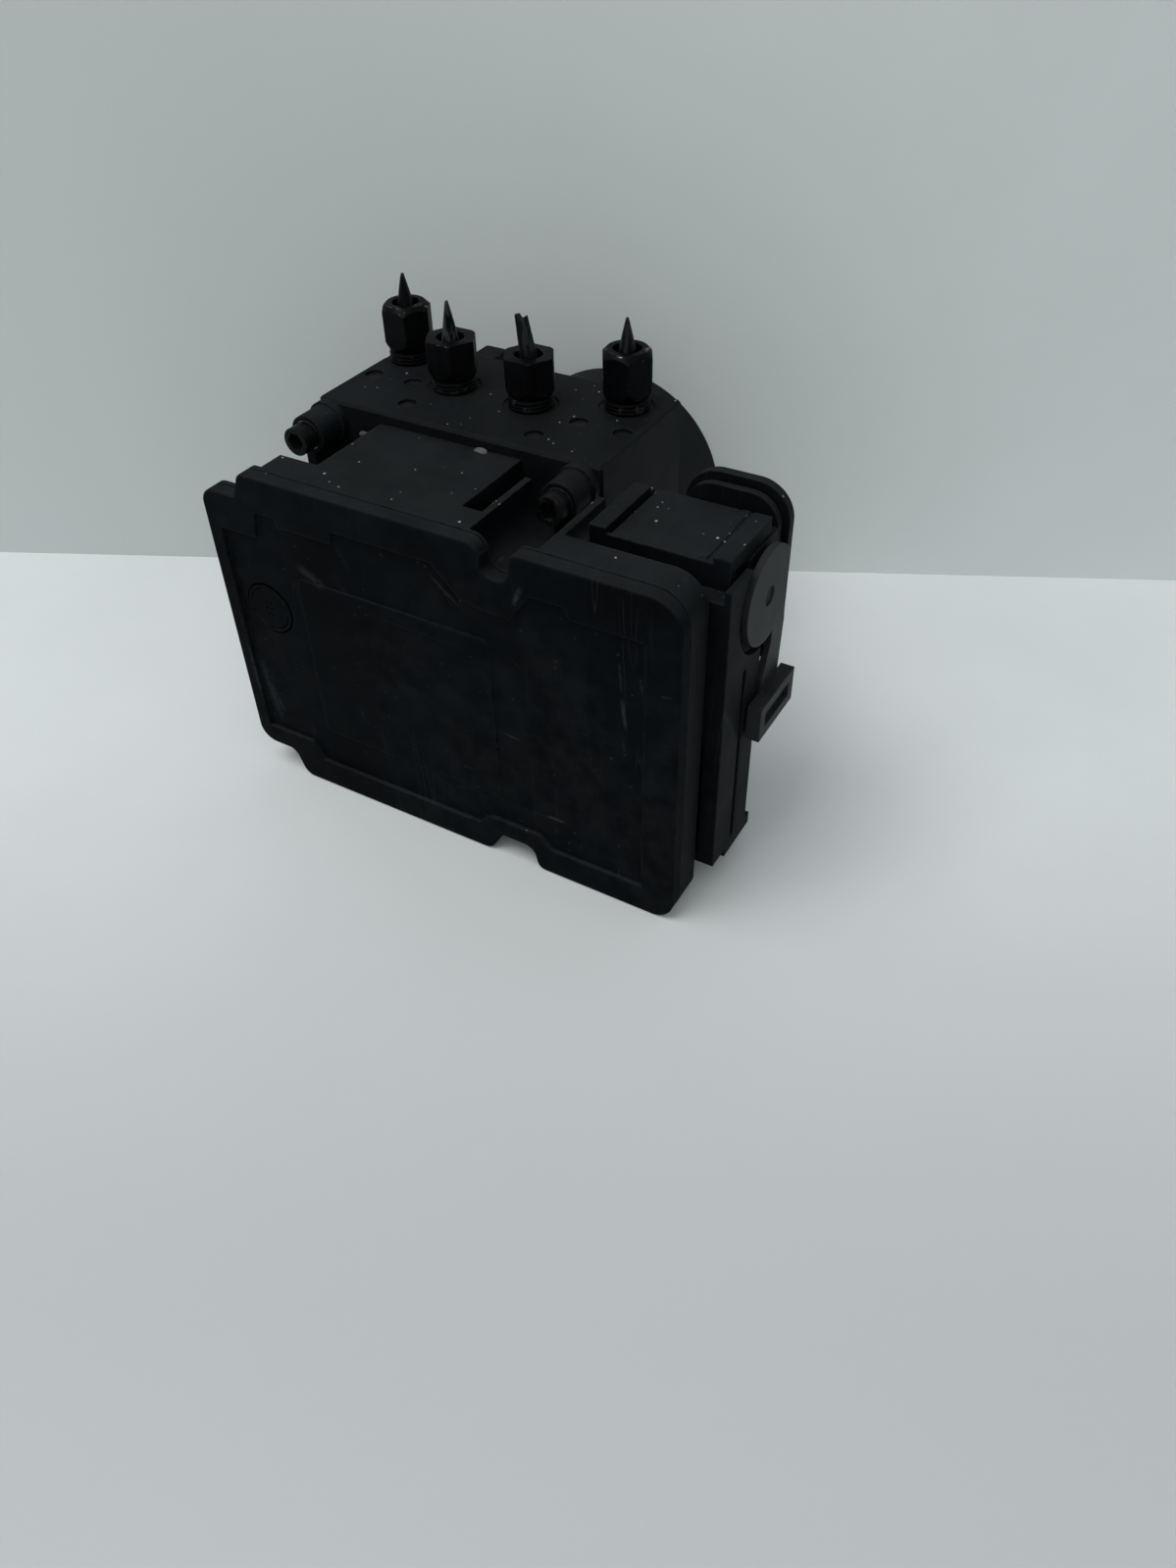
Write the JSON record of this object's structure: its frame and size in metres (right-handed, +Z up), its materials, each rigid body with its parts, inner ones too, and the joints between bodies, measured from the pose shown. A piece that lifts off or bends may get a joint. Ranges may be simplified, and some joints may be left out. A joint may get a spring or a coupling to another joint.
{
  "type": "brake pressure modulator",
  "caption": "Anti-lock brake module: drilled valve block with pipe nuts on top, pump motor behind, control unit and seated loom plug in front.",
  "frame": {"origin": "centre of the valve block's bottom face", "axes": "+X along the block towards the connector tower, +Y from the control unit to the motor, +Z up, out of the outlet ports"},
  "size_m": [0.1507, 0.1352, 0.1286],
  "materials": {
    "block_coating": "black coated, satin",
    "motor_coating": "black coated deep-drawn steel, satin",
    "nut_steel": "black zinc, chipped to bright metal at the corners",
    "pipe_steel": "dark coated steel tube, scraped",
    "screw_steel": "black oxide",
    "housing_plastic": "glass-filled black plastic, dusty",
    "lid_plastic": "glass-filled black plastic, scuffed",
    "plug_plastic": "black plastic",
    "lever_plastic": "dark grey plastic",
    "seal_rubber": "black rubber",
    "board_resin": "green glass-epoxy board",
    "chip_resin": "black moulded packages",
    "contact_brass": "tinned brass",
    "bright_steel": "turned steel",
    "coil_copper": "enamelled copper winding",
    "core_steel": "pressed steel",
    "magnet_ferrite": "ferrite",
    "carbon": "carbon brush",
    "card_plastic": "natural moulded plastic"
  },
  "bodies": {
    "module": {"accumulator_caps": "bright_steel", "board_components": "chip_resin", "brush_card": "card_plastic", "brushes": "carbon", "channel_plugs": "bright_steel", "circuit_board": "board_resin", "connector_pins": "contact_brass", "ecu_housing": "housing_plastic", "ecu_lid": "lid_plastic", "ecu_screws": "screw_steel", "front_bearing": "bright_steel", "hex_tube_nuts": "nut_steel", "housing_seal": "seal_rubber", "inlet_coil_yokes": "core_steel", "inlet_pipe_stubs": "pipe_steel", "inlet_tube_nuts": "nut_steel", "inlet_valve_cartridges": "bright_steel", "inlet_valve_coils": "coil_copper", "motor_can": "motor_coating", "motor_end_plate": "core_steel", "motor_magnets": "magnet_ferrite", "motor_screws": "screw_steel", "motor_terminals": "contact_brass", "outlet_coil_yokes": "core_steel", "outlet_valve_cartridges": "bright_steel", "outlet_valve_coils": "coil_copper", "pipe_stub_1": "pipe_steel", "pipe_stub_2": "pipe_steel", "pipe_stub_3": "pipe_steel", "pipe_stub_4": "pipe_steel", "plug_body": "plug_plastic", "plug_cover": "plug_plastic", "pump_plugs": "bright_steel", "rear_bearing": "bright_steel", "rounded_tube_nuts": "nut_steel", "screw_sleeves": "bright_steel", "terminal_sleeve": "card_plastic", "valve_block": "block_coating", "vent_cap": "plug_plastic"},
    "rotor": {"motor_shaft": "bright_steel", "armature": "core_steel", "commutator": "contact_brass", "eccentric_ring": "bright_steel"},
    "lever": {"plug_lever": "lever_plastic"},
    "pump_piston_right_body": {"pump_piston_right": "bright_steel", "pump_spring_right": "core_steel"},
    "pump_piston_left_body": {"pump_piston_left": "bright_steel", "pump_spring_left": "core_steel"},
    "accumulator_piston_right_body": {"accumulator_piston_right": "bright_steel", "accumulator_spring_right": "core_steel"},
    "accumulator_piston_left_body": {"accumulator_piston_left": "bright_steel", "accumulator_spring_left": "core_steel"},
    "inlet_plunger_1_body": {"inlet_valve_plunger_1": "bright_steel"},
    "inlet_plunger_2_body": {"inlet_valve_plunger_2": "bright_steel"},
    "inlet_plunger_3_body": {"inlet_valve_plunger_3": "bright_steel"},
    "inlet_plunger_4_body": {"inlet_valve_plunger_4": "bright_steel"},
    "outlet_plunger_1_body": {"outlet_valve_plunger_1": "bright_steel"},
    "outlet_plunger_2_body": {"outlet_valve_plunger_2": "bright_steel"},
    "outlet_plunger_3_body": {"outlet_valve_plunger_3": "bright_steel"},
    "outlet_plunger_4_body": {"outlet_valve_plunger_4": "bright_steel"}
  },
  "joints": [
    {"name": "rotor_spin", "type": "hinge", "parent": "module", "child": "rotor", "pos_m": [0, 0.0116, 0.0502], "axis": [0, 1, 0], "continuous": true},
    {"name": "lever_swing", "type": "hinge", "parent": "module", "child": "lever", "pos_m": [0.0767, -0.0248, 0.084], "axis": [1, 0, 0], "range_deg": [0, 80]},
    {"name": "pump_piston_right_stroke", "type": "slide", "parent": "module", "child": "pump_piston_right_body", "axis": [1, 0, 0], "range_m": [0, 0.002], "stiffness_N_per_m": 1500, "springref_m": -0.003, "deforming": ["pump_spring_right"]},
    {"name": "pump_piston_left_stroke", "type": "slide", "parent": "module", "child": "pump_piston_left_body", "axis": [-1, 0, 0], "range_m": [0, 0.002], "stiffness_N_per_m": 1500, "springref_m": -0.003, "deforming": ["pump_spring_left"]},
    {"name": "accumulator_piston_right_stroke", "type": "slide", "parent": "module", "child": "accumulator_piston_right_body", "axis": [0, 0, -1], "range_m": [0, 0.008], "stiffness_N_per_m": 800, "springref_m": -0.004, "deforming": ["accumulator_spring_right"]},
    {"name": "accumulator_piston_left_stroke", "type": "slide", "parent": "module", "child": "accumulator_piston_left_body", "axis": [0, 0, -1], "range_m": [0, 0.008], "stiffness_N_per_m": 800, "springref_m": -0.004, "deforming": ["accumulator_spring_left"]},
    {"name": "inlet_valve_1_stroke", "type": "slide", "parent": "module", "child": "inlet_plunger_1_body", "axis": [0, 1, 0], "range_m": [0, 0.0003], "stiffness_N_per_m": 4000, "springref_m": -0.0005},
    {"name": "inlet_valve_2_stroke", "type": "slide", "parent": "module", "child": "inlet_plunger_2_body", "axis": [0, 1, 0], "range_m": [0, 0.0003], "stiffness_N_per_m": 4000, "springref_m": -0.0005},
    {"name": "inlet_valve_3_stroke", "type": "slide", "parent": "module", "child": "inlet_plunger_3_body", "axis": [0, 1, 0], "range_m": [0, 0.0003], "stiffness_N_per_m": 4000, "springref_m": -0.0005},
    {"name": "inlet_valve_4_stroke", "type": "slide", "parent": "module", "child": "inlet_plunger_4_body", "axis": [0, 1, 0], "range_m": [0, 0.0003], "stiffness_N_per_m": 4000, "springref_m": -0.0005},
    {"name": "outlet_valve_1_stroke", "type": "slide", "parent": "module", "child": "outlet_plunger_1_body", "axis": [0, -1, 0], "range_m": [0, 0.0003], "stiffness_N_per_m": 4000, "springref_m": -0.0005},
    {"name": "outlet_valve_2_stroke", "type": "slide", "parent": "module", "child": "outlet_plunger_2_body", "axis": [0, -1, 0], "range_m": [0, 0.0003], "stiffness_N_per_m": 4000, "springref_m": -0.0005},
    {"name": "outlet_valve_3_stroke", "type": "slide", "parent": "module", "child": "outlet_plunger_3_body", "axis": [0, -1, 0], "range_m": [0, 0.0003], "stiffness_N_per_m": 4000, "springref_m": -0.0005},
    {"name": "outlet_valve_4_stroke", "type": "slide", "parent": "module", "child": "outlet_plunger_4_body", "axis": [0, -1, 0], "range_m": [0, 0.0003], "stiffness_N_per_m": 4000, "springref_m": -0.0005}
  ]
}
